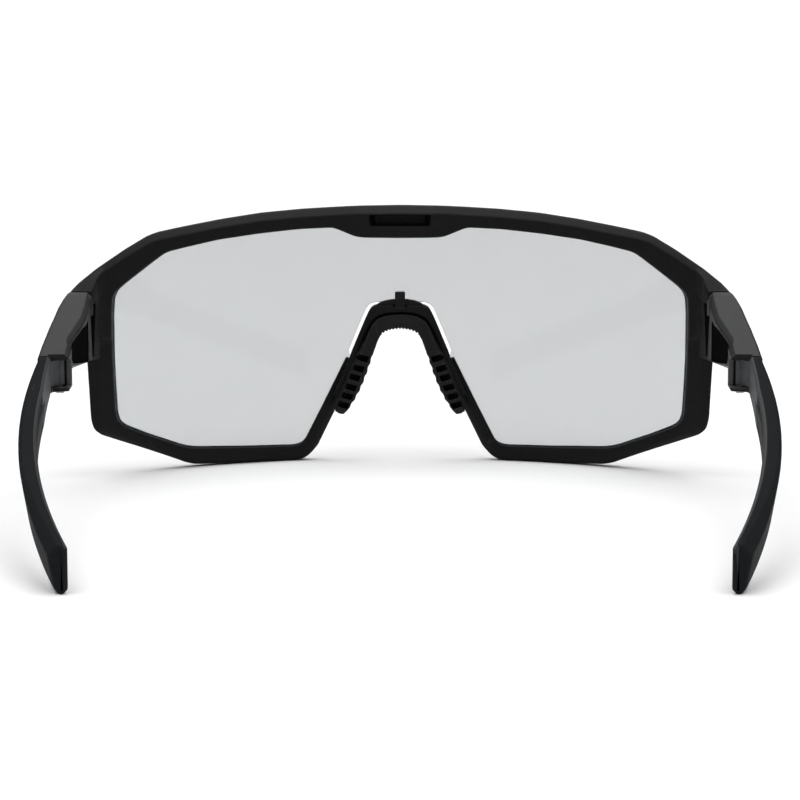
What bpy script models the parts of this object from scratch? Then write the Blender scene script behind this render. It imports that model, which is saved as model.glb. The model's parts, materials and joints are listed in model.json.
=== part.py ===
"""Wraparound sport sunglasses: a C-shaped front round one shield lens, a nose saddle, and two folding arms.

The front faces -Y, the arms run back along +Y, and +X is the wearer's left. The glasses stand on the
lower edge of the front and on the tips of the arms, with the origin at the middle of that footprint.
"""

import math

import bmesh
import bpy
from mathutils import Matrix, Vector

# Driving dimensions, in millimetres. Depths (Y) are counted from the lens's foremost line, and
# heights (Z) from the outer corners of the lower rim, which clear the ground by STAND.
MM = 0.001
STAND = 0.6
LENS_RADIUS = 90.0
LENS_THICKNESS = 1.4
GAP = 0.3
OVERALL_DEPTH = 167.2
FRAME_FRONT = 2.2
ORIGIN_DEPTH = OVERALL_DEPTH / 2 - FRAME_FRONT

# The rim's chamfer above its back: width as a share of the rim, the most it may be, and its drop as a
# share of the rear depth.
CHAMFER_SHARE, CHAMFER_MOST, CHAMFER_DROP = 0.42, 1.9, 0.42
GROOVE_DEPTH = 1.6
GROOVE_HALF = LENS_THICKNESS / 2 + GAP
LENS_IN_GROOVE = 1.25
EDGE_BEVEL = 0.5
STEP = 3.0
LENS_COLUMNS = 52
LENS_REACH = 50.0
SHEET_LOW, SHEET_HIGH = -2.0, 62.0
CUT_NEAR, CUT_FAR = -20.0, 60.0
# The blind air recess in the brow: bottom and top Z, then depth and half width at its floor and mouth.
RECESS_LOW, RECESS_HIGH = 54.8, 57.2
RECESS_FLOOR = (1.6, 5.9)
RECESS_MOUTH = (6.0, 7.5)

PIN_X, PIN_Y = 71.8, 62.0
PIN_RADIUS = 0.5
BORE_RADIUS = PIN_RADIUS + GAP / 2
BORE_LOW = 20.0
PIN_ABOVE = 0.8
HEAD_RADIUS, HEAD_LOW, HEAD_HIGH = 0.9, 22.0, 22.45
KNUCKLE_RADIUS = 1.1
KNUCKLE_LOW, KNUCKLE_HIGH = 23.7, 29.1
ARM_START, ARM_END = 65.9, OVERALL_DEPTH - FRAME_FRONT
ARM_BOW = 16.3
ARM_BEND = 2.3
ARM_WIDEST = 75.8
ARM_THIN, ARM_SWELL = 2.7, 0.9
ARM_TOP_FRONT, ARM_TOP_TIP = 30.1, 7.9
ARM_LOW_FRONT, ARM_LOW_TIP = 21.8, -0.8
ARM_CUTS = (0.8, 0.6, 0.8, 0.8)
# The arm's outer side leans in towards its lower edge: how far, and over what depths this grows.
ARM_LEAN, LEAN_START, LEAN_FULL = 1.2, 84.0, 118.0
# How far the arm's last section draws in at its sides, top and bottom.
TIP_SIDES, TIP_TOP, TIP_LOW = 0.6, 0.7, 0.5
# The rubber strip let into the arm's inner side: it starts as a point and swells to its full rise.
GRIP_START, GRIP_END = 84.0, 158.0
GRIP_RISE, GRIP_DEPTH, GRIP_PROUD = 2.4, 1.3, 0.1
GRIP_POINT, GRIP_SWELL = 0.28, 0.22
GRIP_CUT = 0.3

# The rim's path from the middle of the brow to the end of the nose leg: outer X, Z, inner X, Z,
# then how far it stands in front of and behind the lens's middle surface.
RIM = [
    (0.0, 59.5, 0.0, 51.9, 2.2, 4.6),
    (9.6, 59.35, 10.4, 52.2, 2.2, 4.6),
    (14.9, 59.15, 15.6, 54.4, 2.2, 4.4),
    (23.3, 58.7, 23.5, 54.1, 2.2, 4.3),
    (32.5, 57.9, 32.7, 53.2, 2.2, 4.2),
    (41.5, 56.6, 41.7, 52.0, 2.2, 4.0),
    (50.3, 55.0, 49.3, 50.4, 2.2, 3.8),
    (55.3, 54.0, 52.8, 49.55, 2.2, 3.6),
    (57.3, 53.3, 54.3, 48.7, 2.2, 3.5),
    (62.0, 50.4, 57.3, 46.4, 2.2, 3.2),
    (67.4, 46.6, 62.2, 42.5, 2.2, 2.8),
    (69.4, 44.9, 63.6, 41.2, 2.2, 2.9),
    (70.1, 42.6, 64.3, 39.6, 2.1, 2.9),
    (70.1, 38.0, 64.5, 36.0, 2.0, 2.9),
    (69.8, 31.4, 64.5, 30.9, 2.0, 2.9),
    (69.8, 30.9, 64.5, 30.4, 2.0, 2.3),
    (69.7, 27.0, 64.5, 26.0, 2.0, 2.3),
    (69.4, 20.0, 64.3, 20.0, 2.0, 2.3),
    (69.1, 13.0, 64.0, 13.4, 2.0, 2.4),
    (68.6, 10.6, 63.5, 11.5, 2.0, 2.4),
    (67.2, 9.1, 62.4, 10.4, 2.0, 2.4),
    (62.6, 6.8, 57.8, 7.9, 2.0, 2.4),
    (52.5, 2.0, 50.8, 4.7, 2.0, 2.4),
    (49.4, 0.5, 48.8, 4.1, 2.0, 2.4),
    (47.3, -0.05, 47.2, 3.85, 2.0, 2.4),
    (36.0, -STAND, 36.0, 3.2, 1.9, 2.3),
    (24.8, -STAND, 25.8, 3.0, 1.8, 2.2),
    (23.0, -0.3, 24.4, 3.15, 1.8, 2.2),
    (21.5, 0.6, 23.2, 3.6, 1.8, 2.2),
    (19.5, 2.8, 22.4, 4.5, 1.8, 2.2),
    (15.0, 11.9, 17.9, 13.3, 1.8, 2.2),
    (9.9, 22.2, 12.8, 23.6, 1.8, 2.2),
]

# The bare edge of the lens above the nose legs, from the leg up to the middle of the notch.
NOTCH = [
    (12.15, 25.2),
    (10.5, 29.3),
    (8.75, 33.4),
    (7.9, 35.3),
    (7.1, 36.2),
    (5.9, 36.65),
    (4.4, 36.7),
    (0.0, 36.7),
]

# Nose bracket and nose pad, middle to lower end: outer X, Z, inner X, Z, front depth, rear depth.
BRACKET = [
    (0.0, 36.1, 0.0, 34.3, -1.2, 4.2),
    (3.0, 36.1, 3.0, 34.1, -1.2, 4.2),
    (5.6, 36.1, 5.0, 33.4, -1.2, 4.2),
    (6.7, 35.6, 6.4, 32.5, -1.1, 4.3),
    (7.4, 34.5, 7.3, 31.0, -1.0, 4.4),
    (8.2, 32.8, 7.9, 29.6, -0.9, 4.5),
    (9.85, 28.9, 8.7, 27.9, -0.8, 4.8),
    (11.5, 25.0, 10.1, 24.3, 0.0, 5.4),
    (12.1, 23.3, 10.8, 22.7, 3.8, 5.7),
    (13.9, 19.2, 12.6, 18.6, 4.0, 6.2),
    (15.7, 15.2, 14.3, 14.6, 4.2, 6.6),
]
PAD = [
    (0.0, 34.0, 0.0, 30.7, -0.4, 5.2),
    (2.9, 33.8, 2.7, 30.3, -0.4, 5.3),
    (4.8, 33.2, 4.2, 29.4, -0.3, 5.6),
    (6.1, 32.2, 5.0, 28.3, -0.2, 6.0),
    (7.0, 30.7, 5.5, 27.0, 0.0, 6.5),
    (8.3, 27.6, 6.2, 25.0, 1.2, 7.4),
    (9.8, 24.1, 7.0, 22.6, 3.3, 8.4),
    (11.1, 21.3, 7.9, 20.0, 3.7, 9.2),
    (12.3, 18.4, 9.1, 17.0, 4.1, 9.8),
    (13.6, 15.4, 10.6, 14.2, 4.4, 10.0),
    (14.7, 13.0, 12.1, 11.9, 4.8, 9.8),
    (14.6, 11.2, 13.2, 10.8, 5.2, 9.2),
]

# The flange behind the lens, as X and Z, and the latch tab above it.
FLANGE = [(-5.6, 35.4), (5.6, 35.4), (4.6, 36.8), (2.6, 37.45), (-2.6, 37.45), (-4.6, 36.8)]
FLANGE_BEHIND = LENS_THICKNESS / 2 + GAP + 0.15
FLANGE_DEPTH = 2.6
TAB_HALF, TAB_LOW, TAB_TOP = 1.2, 35.5, 39.2
TAB_NEAR, TAB_FAR = FLANGE_BEHIND + 0.2, FLANGE_BEHIND + 3.4
BAND_CUT = 0.4
PAD_SLANT = 1.0

# Hinge block, front to back: depth, outer X, inner X, top Z, bottom Z, and how far the slanted
# underside lifts towards the inner side.
BLOCK = [
    (38.3, 73.5, 67.9, 41.6, 26.0, 0.7),
    (40.5, 74.0, 67.9, 40.7, 25.9, 0.8),
    (44.0, 74.6, 67.9, 39.1, 25.6, 1.2),
    (48.5, 75.0, 68.1, 37.1, 25.1, 1.9),
    (52.6, 75.4, 69.0, 35.3, 24.5, 2.6),
    (57.0, 75.7, 69.9, 33.4, 23.8, 3.4),
    (58.4, 75.8, 69.9, 32.8, 23.4, 1.8),
    (59.8, 75.9, 69.5, 32.2, 22.9, 0.3),
    (65.0, 75.9, 69.4, 30.5, 22.4, 0.3),
    (65.1, 75.9, 72.9, 30.47, 22.35, 0.2),
    (65.6, 75.9, 72.9, 30.3, 22.2, 0.2),
]
# Cuts along the block's outer top, inner top and outer bottom edges.
BLOCK_CUTS = (0.5, 1.0, 0.6)
# The slot for the knuckle: the pocket starts in front of the pin, and behind MOUTH_START it opens inwards.
SLOT_EDGE = PIN_X - KNUCKLE_RADIUS - GAP
POCKET_START, POCKET_OUTER = PIN_Y - 1.5, 75.0
MOUTH_START, MOUTH_OUTER = PIN_Y - GAP, 74.9
SLOT_FAR = 72.0
# A wedge-shaped gap between block and end-piece, open inwards: Z, where it starts in the end-piece,
# and where it ends in the block. A round locating lug hangs in its upper end.
WEDGE = [(27.4, 37.7, 38.7), (39.0, 36.2, 41.6)]
WEDGE_OPEN, WEDGE_IN_FRAME, WEDGE_IN_BLOCK = 60.0, 69.3, 70.0
SEAM = 38.15
LUG_X, LUG_Y, LUG_RADIUS = 68.3, 39.5, 0.75
LUG_LOW, LUG_HIGH = 36.6, 40.0

END_PIECE = [
    (30.6, 69.6, 66.4, 45.0, 26.0),
    (34.0, 71.5, 66.9, 44.1, 26.2),
    (36.5, 72.8, 67.4, 42.7, 26.3),
    (38.0, 73.4, 67.8, 41.8, 26.3),
]
END_PIECE_CUTS = (1.0, 0.5, 0.6, 0.6)
# The corner between the rim and an end-piece: depth, outer X, its top Z, ridge X, Z, inner X, its top Z,
# bottom Z.
SHOULDER = [
    (30.0, 68.9, 45.1, 66.2, 47.5, 64.6, 47.2, 44.0),
    (32.5, 70.4, 44.2, 67.4, 46.6, 65.6, 46.2, 41.8),
    (35.0, 71.8, 42.9, 69.2, 44.9, 66.9, 44.6, 39.2),
    (36.5, 72.5, 42.1, 70.2, 43.4, 67.3, 43.2, 39.2),
    (38.0, 73.3, 41.2, 71.0, 41.8, 67.9, 41.7, 39.2),
]


def place(x, y, z, side=1):
    """A point in metres, from millimetres counted from the lens's foremost line."""
    return Vector((side * x, y - ORIGIN_DEPTH, z + STAND)) * MM


def on_shield(x, stand_off):
    """Depth of the surface that lies stand_off in front of the lens's middle surface, at this X."""
    return LENS_RADIUS - math.sqrt((LENS_RADIUS + stand_off) ** 2 - x * x)


def material(name, colour, roughness, metallic=0.0, alpha=1.0):
    made = bpy.data.materials.new(name)
    made.use_nodes = True
    shader = made.node_tree.nodes["Principled BSDF"]
    shader.inputs["Base Color"].default_value = (*colour, 1.0)
    shader.inputs["Roughness"].default_value = roughness
    shader.inputs["Metallic"].default_value = metallic
    shader.inputs["Alpha"].default_value = alpha
    return made


def make_object(name, points, faces, look=None):
    mesh = bpy.data.meshes.new(name)
    mesh.from_pydata([tuple(p) for p in points], [], faces)
    work = bmesh.new()
    work.from_mesh(mesh)
    bmesh.ops.recalc_face_normals(work, faces=work.faces)
    work.to_mesh(mesh)
    work.free()
    made = bpy.data.objects.new(name, mesh)
    bpy.context.scene.collection.objects.link(made)
    if look:
        mesh.materials.append(look)
    return made


def loft(name, sections, look=None):
    """Joins sections of equal length, each a ring of points, and caps the two ends."""
    count = len(sections[0])
    points = [point for section in sections for point in section]
    faces = [tuple(range(count)), tuple(range(len(points) - count, len(points)))]
    for near in range(0, len(points) - count, count):
        far = near + count
        for i in range(count):
            j = (i + 1) % count
            faces.append((near + i, near + j, far + j, far + i))
    return make_object(name, points, faces, look)


def box(name, low, high, side=1):
    """A box between two corners given in millimetres."""
    corners = [
        place(x, y, z, side) for x in (low[0], high[0]) for y in (low[1], high[1]) for z in (low[2], high[2])
    ]
    faces = [(0, 1, 3, 2), (4, 6, 7, 5), (0, 4, 5, 1), (2, 3, 7, 6), (0, 2, 6, 4), (1, 5, 7, 3)]
    return make_object(name, corners, faces)


def turned(name, x, y, profile, side, look=None, sides=20):
    """An upright turned body, from pairs of radius and Z."""
    angles = [2 * math.pi * i / sides for i in range(sides)]
    rings = [
        [place(x + radius * math.cos(a), y + radius * math.sin(a), z, side) for a in angles]
        for radius, z in profile
    ]
    return loft(name, rings, look)


def helper(obj):
    obj.hide_render = True
    obj.display_type = "WIRE"
    return obj


def boolean(target, other, operation):
    """Adds the Boolean and keeps the other object as a hidden helper."""
    modifier = target.modifiers.new(operation.lower(), "BOOLEAN")
    modifier.operation = operation
    modifier.object = helper(other)
    modifier.solver = "EXACT"


def smooth(obj, angle=35):
    obj.data.shade_smooth()
    obj.data.set_sharp_from_angle(angle=math.radians(angle))


def both_halves(half):
    """A path given for X >= 0 from its middle outwards, made whole from the right end to the left."""
    mirrored = [tuple(-v if i in (0, 2) else v for i, v in enumerate(key)) for key in half[:0:-1]]
    return mirrored + list(half)


def finer(keys):
    """Adds even steps between keys, so that straight runs follow the curve of the lens."""
    found = [keys[0]]
    for a, b in zip(keys, keys[1:]):
        run = max(abs(b[0] - a[0]), abs(b[2] - a[2]))
        steps = max(1, math.ceil(run / STEP))
        for i in range(1, steps + 1):
            found.append(tuple(u + (v - u) * i / steps for u, v in zip(a, b)))
    return found


def rim_section(key):
    """The rim's cross-section: bevelled, with a broad chamfer above its back and a groove for the lens."""
    outer_x, outer_z, inner_x, inner_z, front, rear = key
    across = Vector((inner_x - outer_x, inner_z - outer_z))
    width = across.length
    chamfer_side = min(CHAMFER_SHARE * width, CHAMFER_MOST)
    chamfer_back = rear * CHAMFER_DROP
    profile = [
        (EDGE_BEVEL, front),
        (width - EDGE_BEVEL, front),
        (width, front - EDGE_BEVEL),
        (width, GROOVE_HALF),
        (width - GROOVE_DEPTH, GROOVE_HALF),
        (width - GROOVE_DEPTH, -GROOVE_HALF),
        (width, -GROOVE_HALF),
        (width, -rear + EDGE_BEVEL),
        (width - EDGE_BEVEL, -rear),
        (chamfer_side, -rear),
        (0.0, -rear + chamfer_back),
        (0.0, front - EDGE_BEVEL),
    ]
    section = []
    for inwards, stand_off in profile:
        x = outer_x + across.x * inwards / width
        z = outer_z + across.y * inwards / width
        section.append(place(x, on_shield(x, stand_off), z))
    return section


def slab_section(station, side, cuts):
    """An upright cross-section at one depth, its corners cut: top outer, top inner, low inner, low outer."""
    y, outer, inner, top, low = station
    a, b, c, d = cuts
    ring = [
        (outer, top - a),
        (outer - a, top),
        (inner + b, top),
        (inner, top - b),
        (inner, low + c),
        (inner + c, low),
        (outer - d, low),
        (outer, low + d),
    ]
    return [place(x, y, z, side) for x, z in ring]


def block_section(station, side):
    """A cross-section of the hinge block, whose underside slants up towards its inner side."""
    y, outer, inner, top, low, lift = station
    outer_cut, inner_cut, low_cut = BLOCK_CUTS
    ring = [
        (outer, top - outer_cut),
        (outer - outer_cut, top),
        (inner + inner_cut, top),
        (inner, top - inner_cut),
        (inner, low + lift),
        (outer - low_cut, low),
        (outer, low + low_cut),
    ]
    return [place(x, y, z, side) for x, z in ring]


def wedge(name, side, outer, share):
    """A cutter for one half of the wedge-shaped gap: share 0 is the end-piece's half, 1 the block's."""
    rings = []
    for z, start, end in WEDGE:
        near, far = ((start, SEAM), (SEAM, end))[share]
        corners = ((WEDGE_OPEN, near), (outer, near), (outer, far), (WEDGE_OPEN, far))
        rings.append([place(x, y, z, side) for x, y in corners])
    return loft(name, rings)


def front_frame(look):
    """The front: the rim, the two end-pieces joined to it, and the blind air recess in the brow."""
    frame = loft("front_frame", [rim_section(key) for key in finer(both_halves(RIM))], look)
    for side in (1, -1):
        end = loft(f"end piece {side}", [slab_section(s, side, END_PIECE_CUTS) for s in END_PIECE])
        boolean(frame, end, "UNION")
        sections = []
        for y, outer, outer_top, ridge, ridge_top, inner, inner_top, low in SHOULDER:
            corners = [(outer, low), (outer, outer_top), (ridge, ridge_top), (inner, inner_top), (inner, low)]
            sections.append([place(x, y, z, side) for x, z in corners])
        boolean(frame, loft(f"shoulder {side}", sections), "UNION")
        boolean(frame, wedge(f"end piece wedge {side}", side, WEDGE_IN_FRAME, 0), "DIFFERENCE")
    sections = []
    for y, half in (RECESS_FLOOR, RECESS_MOUTH):
        corners = ((half, RECESS_LOW), (half, RECESS_HIGH), (-half, RECESS_HIGH), (-half, RECESS_LOW))
        sections.append([place(x, y, z) for x, z in corners])
    boolean(frame, loft("brow recess", sections), "DIFFERENCE")
    smooth(frame)
    return frame


def lens_outline():
    """The lens's edge: inside the groove of the rim, then bare round the nose notch."""
    half = []
    for outer_x, outer_z, inner_x, inner_z, _, _ in RIM:
        towards = Vector((outer_x - inner_x, outer_z - inner_z)).normalized() * LENS_IN_GROOVE
        half.append((inner_x + towards.x, inner_z + towards.y))
    half[0] = (0.0, half[0][1])
    half.extend(NOTCH)
    left = [(-x, z) for x, z in reversed(half) if x > 0.0]
    return half + left


def shield_lens(look):
    """The lens: its outline cut through a curved sheet of even thickness."""
    reach = math.radians(LENS_REACH)
    back, front = LENS_RADIUS - LENS_THICKNESS / 2, LENS_RADIUS + LENS_THICKNESS / 2
    corners = ((front, SHEET_LOW), (front, SHEET_HIGH), (back, SHEET_HIGH), (back, SHEET_LOW))
    sections = []
    for i in range(LENS_COLUMNS + 1):
        angle = -reach + 2 * reach * i / LENS_COLUMNS
        sections.append(
            [place(r * math.sin(angle), LENS_RADIUS - r * math.cos(angle), z) for r, z in corners]
        )
    sheet = loft("shield_lens", sections, look)
    outline = lens_outline()
    cutter = loft("lens outline", [[place(x, y, z) for x, z in outline] for y in (CUT_NEAR, CUT_FAR)])
    boolean(sheet, cutter, "INTERSECT")
    smooth(sheet, 20)
    return sheet


def band_section(key, slant=0.0):
    """A cross-section of a band that follows the nose, with its corners cut."""
    outer_x, outer_z, inner_x, inner_z, front, rear = key
    across = Vector((inner_x - outer_x, inner_z - outer_z))
    width = across.length
    cut = min(BAND_CUT, 0.3 * width)
    profile = [
        (cut, front),
        (width - cut, front),
        (width, front + cut),
        (width, rear - cut - slant),
        (width - cut, rear - slant),
        (cut, rear),
        (0.0, rear - cut),
        (0.0, front + cut),
    ]
    return [
        place(outer_x + across.x * s / width, y, outer_z + across.y * s / width)
        for s, y in profile
    ]


def nose_bracket(look):
    """The hard clip: a band inside the notch, a flange behind the lens and a latch tab at the top."""
    bracket = loft("nose_bracket", [band_section(key) for key in finer(both_halves(BRACKET))], look)
    depths = (FLANGE_BEHIND, FLANGE_BEHIND + FLANGE_DEPTH)
    flange = loft("flange", [[place(x, y, z) for x, z in FLANGE] for y in depths])
    boolean(bracket, flange, "UNION")
    tab = box("latch tab", (-TAB_HALF, TAB_NEAR, TAB_LOW), (TAB_HALF, TAB_FAR, TAB_TOP))
    boolean(bracket, tab, "UNION")
    smooth(bracket)
    return bracket


def nose_pad(look):
    """The soft saddle, pushed on inside the bracket, deeper at its two legs."""
    pad = loft("nose_pad", [band_section(key, PAD_SLANT) for key in finer(both_halves(PAD))], look)
    smooth(pad)
    return pad


def hinge_block(name, side, look):
    """The block behind an end-piece, with a slot open to the rear for the arm's knuckle."""
    block = loft(name, [block_section(station, side) for station in BLOCK], look)
    low, high = KNUCKLE_LOW - GAP, KNUCKLE_HIGH + GAP
    pocket = box(f"{name} pocket", (SLOT_EDGE, POCKET_START, low), (POCKET_OUTER, SLOT_FAR, high), side)
    boolean(block, pocket, "DIFFERENCE")
    mouth = box(f"{name} mouth", (WEDGE_OPEN, MOUTH_START, low), (MOUTH_OUTER, SLOT_FAR, high), side)
    boolean(block, mouth, "DIFFERENCE")
    bore = [(BORE_RADIUS, BORE_LOW), (BORE_RADIUS, KNUCKLE_HIGH + GAP + PIN_ABOVE)]
    boolean(block, turned(f"{name} bore", PIN_X, PIN_Y, bore, side), "DIFFERENCE")
    boolean(block, wedge(f"{name} wedge", side, WEDGE_IN_BLOCK, 1), "DIFFERENCE")
    lug = [(LUG_RADIUS, LUG_LOW), (LUG_RADIUS, LUG_HIGH)]
    boolean(block, turned(f"{name} lug", LUG_X, LUG_Y, lug, side), "UNION")
    smooth(block)
    return block


def hinge_pin(name, side, look):
    """The pin, with its head under the housing."""
    profile = [
        (HEAD_RADIUS, HEAD_LOW),
        (HEAD_RADIUS, HEAD_HIGH),
        (PIN_RADIUS, HEAD_HIGH),
        (PIN_RADIUS, KNUCKLE_HIGH + PIN_ABOVE),
    ]
    pin = turned(name, PIN_X, PIN_Y, profile, side, look)
    smooth(pin)
    return pin


def arm_outer(y):
    """X of the arm's outer side: nearly straight at first, then bowing inwards to the tip."""
    return ARM_WIDEST - ARM_BOW * (max(y - PIN_Y, 0.0) / (ARM_END - PIN_Y)) ** ARM_BEND


def arm_station(y):
    """Depth, outer X, inner X, top Z and bottom Z of the arm, which thickens over its first fifth."""
    along = (y - ARM_START) / (ARM_END - ARM_START)
    thickness = ARM_THIN + ARM_SWELL * min(along * 5, 1.0)
    outer = arm_outer(y)
    top = ARM_TOP_FRONT + (ARM_TOP_TIP - ARM_TOP_FRONT) * along
    low = ARM_LOW_FRONT + (ARM_LOW_TIP - ARM_LOW_FRONT) * along
    return y, outer, outer - thickness, top, max(low, -STAND)


def arm_section(station, side):
    """A cross-section of the arm, its corners cut and its outer side leaning in at the bottom."""
    y, outer, inner, top, low = station
    a, b, c, d = ARM_CUTS
    foot = outer - ARM_LEAN * min(max((y - LEAN_START) / (LEAN_FULL - LEAN_START), 0.0), 1.0)
    ring = [
        (outer, top - a),
        (outer - a, top),
        (inner + b, top),
        (inner, top - b),
        (inner, low + c),
        (inner + c, low),
        (foot - d, low),
        (foot, low + d),
    ]
    return [place(x, y, z, side) for x, z in ring]


def strip_section(y, side, inside, depth, rise):
    """A cross-section of the rubber strip: inside is its face's X offset from the arm's inner side."""
    _, _, inner, top, low = arm_station(y)
    middle = (top + low) / 2
    low_x, high_x = inner + inside, inner + depth
    ring = [
        (low_x + GRIP_CUT, middle + rise),
        (low_x, middle + rise - GRIP_CUT),
        (low_x, middle - rise + GRIP_CUT),
        (low_x + GRIP_CUT, middle - rise),
        (high_x, middle - rise),
        (high_x, middle + rise),
    ]
    return [place(x, y, z, side) for x, z in ring]


def strip(name, side, inside, depth, spare, look=None):
    """The rubber strip, or with a spare the recess that it lies in: pointed at the front end."""
    steps = 26
    sections = []
    for i in range(steps + 1):
        y = GRIP_START - spare + (GRIP_END - GRIP_START + 2 * spare) * i / steps
        swell = min(1.0, GRIP_POINT + (1 - GRIP_POINT) * (i / steps) / GRIP_SWELL)
        sections.append(strip_section(y, side, inside, depth, GRIP_RISE * swell + spare))
    return loft(name, sections, look)


def temple_arm(name, side, look):
    """The arm with its hinge knuckle, and the recess for the rubber strip."""
    stops = [ARM_START, 68.0, 72.0] + [78.0 + 4.5 * i for i in range(19)] + [162.4, ARM_END - 0.8]
    sections = [arm_section(arm_station(y), side) for y in stops]
    y, outer, inner, top, low = arm_station(ARM_END)
    tip = (y, outer - TIP_SIDES, inner + TIP_SIDES, top - TIP_TOP, low + TIP_LOW)
    sections.append(arm_section(tip, side))
    arm = loft(name, sections, look)
    turn = 14
    rings = []
    for z in (KNUCKLE_LOW, KNUCKLE_HIGH):
        # A round barrel whose rear half runs on into the arm's front end.
        barrel = [
            (
                PIN_X + KNUCKLE_RADIUS * math.cos(math.pi / 2 + 1.5 * math.pi * i / turn),
                PIN_Y + KNUCKLE_RADIUS * math.sin(math.pi / 2 + 1.5 * math.pi * i / turn),
            )
            for i in range(turn + 1)
        ]
        web = [(74.5, ARM_START - 0.4), (74.5, 68.5), (73.4, 68.5), (73.1, ARM_START - 0.3)]
        rings.append([place(x, y, z, side) for x, y in barrel + web])
    boolean(arm, loft(f"{name} knuckle", rings), "UNION")
    bore = [(BORE_RADIUS, BORE_LOW), (BORE_RADIUS, KNUCKLE_HIGH + PIN_ABOVE)]
    boolean(arm, turned(f"{name} bore", PIN_X, PIN_Y, bore, side), "DIFFERENCE")
    recess = strip(f"{name} recess", side, -1.0, GRIP_DEPTH + GAP, GAP)
    boolean(arm, recess, "DIFFERENCE")
    smooth(arm)
    return arm


def on_pin(obj, side):
    """Moves an object's origin onto its hinge pin, leaving the shape where it is."""
    pivot = place(PIN_X, PIN_Y, (KNUCKLE_LOW + KNUCKLE_HIGH) / 2, side)
    obj.data.transform(Matrix.Translation(-pivot))
    obj.location = pivot


def build():
    for old in list(bpy.data.objects):
        bpy.data.objects.remove(old, do_unlink=True)
    nylon = material("matte black nylon", (0.012, 0.012, 0.013), 0.55)
    satin = material("satin charcoal nylon", (0.045, 0.046, 0.05), 0.42)
    slate = material("slate nylon", (0.022, 0.024, 0.028), 0.6)
    rubber = material("black rubber", (0.01, 0.01, 0.011), 0.8)
    steel = material("pin steel", (0.5, 0.5, 0.51), 0.35, 1.0)
    tint = material("pale grey lens", (0.62, 0.65, 0.68), 0.05, 0.0, 0.3)

    front_frame(nylon)
    shield_lens(tint)
    nose_bracket(nylon)
    nose_pad(rubber)
    for word, side in (("left", 1), ("right", -1)):
        hinge_block(f"hinge_block_{word}", side, satin)
        hinge_pin(f"hinge_pin_{word}", side, steel)
        arm = temple_arm(f"temple_arm_{word}", side, slate)
        grip = strip(f"temple_grip_{word}", side, -GRIP_PROUD, GRIP_DEPTH, 0.0, rubber)
        smooth(grip)
        on_pin(arm, side)
        on_pin(grip, side)
        for modifier in arm.modifiers:
            on_pin(modifier.object, side)


build()
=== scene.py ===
import json
import math

import bmesh
import bpy
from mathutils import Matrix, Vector


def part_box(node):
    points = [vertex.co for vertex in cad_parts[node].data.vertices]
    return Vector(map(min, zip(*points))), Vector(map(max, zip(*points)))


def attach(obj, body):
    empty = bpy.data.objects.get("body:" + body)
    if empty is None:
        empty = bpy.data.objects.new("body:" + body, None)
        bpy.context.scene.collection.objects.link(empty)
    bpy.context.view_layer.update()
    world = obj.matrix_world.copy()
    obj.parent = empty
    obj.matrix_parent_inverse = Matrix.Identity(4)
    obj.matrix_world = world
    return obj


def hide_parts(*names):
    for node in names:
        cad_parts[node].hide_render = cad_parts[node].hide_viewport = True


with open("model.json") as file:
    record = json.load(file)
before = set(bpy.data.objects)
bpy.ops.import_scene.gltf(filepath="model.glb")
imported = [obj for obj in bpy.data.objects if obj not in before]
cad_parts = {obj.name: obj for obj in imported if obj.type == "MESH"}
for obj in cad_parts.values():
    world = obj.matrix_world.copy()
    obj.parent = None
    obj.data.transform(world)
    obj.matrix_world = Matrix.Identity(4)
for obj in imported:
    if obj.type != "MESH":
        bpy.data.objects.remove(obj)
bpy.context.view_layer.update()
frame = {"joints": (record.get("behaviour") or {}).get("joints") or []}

# Shared measures. Tables below are in millimetres: x from the middle, y back from the lens's
# foremost line, z up from the corners of the lower rim. spot() turns them into metres.
mm = 0.001
rimReach = 2.2  # how far the rim stands in front of the foremost line
rimDrop = 0.6  # how far the lower rim hangs under its corners
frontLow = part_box("front_frame")[0]
foremost = frontLow.y + rimReach * mm
lowLine = frontLow.z + rimDrop * mm
pivots = {joint["child"]: Vector(joint["pos_m"]) for joint in frame["joints"]}
pinX = pivots["arm_left"].x / mm
pinY = (pivots["arm_left"].y - foremost) / mm
armEnd = (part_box("temple_arm_left")[1].y - foremost) / mm
sides = {"left": 1, "right": -1}


def spot(x, y, z, side=1):
    return Vector((side * x * mm, y * mm + foremost, z * mm + lowLine))


class Wire:  # a shader socket that can be used in sums
    def __init__(self, tree, socket=None):
        self.tree = tree
        self.socket = socket

    def node(self, kind, settings=None, sockets=None, out=0):
        made = self.tree.nodes.new("ShaderNode" + kind)
        for name, value in (settings or {}).items():
            if name == "stops":
                ramp = made.color_ramp
                for place, tone in value[2:]:
                    ramp.elements.new(place)
                for element, (place, tone) in zip(ramp.elements, value):
                    element.position = place
                    element.color = (tone, tone, tone, 1)
            else:
                setattr(made, name, value)
        for name, value in (sockets or {}).items():
            if isinstance(value, Wire):
                self.tree.links.new(value.socket, made.inputs[name])
            else:
                made.inputs[name].default_value = value
        return Wire(self.tree, made.outputs[out])

    def sum(self, operation, first, second=0.0):
        return self.node("Math", {"operation": operation}, {0: first, 1: second})

    def __add__(self, other):
        return self.sum("ADD", self, other)

    def __radd__(self, other):
        return self.sum("ADD", other, self)

    def __sub__(self, other):
        return self.sum("SUBTRACT", self, other)

    def __rsub__(self, other):
        return self.sum("SUBTRACT", other, self)

    def __mul__(self, other):
        return self.sum("MULTIPLY", self, other)

    def __rmul__(self, other):
        return self.sum("MULTIPLY", other, self)

    def __pow__(self, other):
        return self.sum("POWER", self, other)


def tint(wire, mask, first, second):
    colours = {0: mask, 6: first, 7: second}
    return wire.node("Mix", {"data_type": "RGBA"}, colours, 2)


def grey(tone, warm=0.0):
    return (tone * (1 + warm), tone, tone * (1 - warm), 1)


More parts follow.
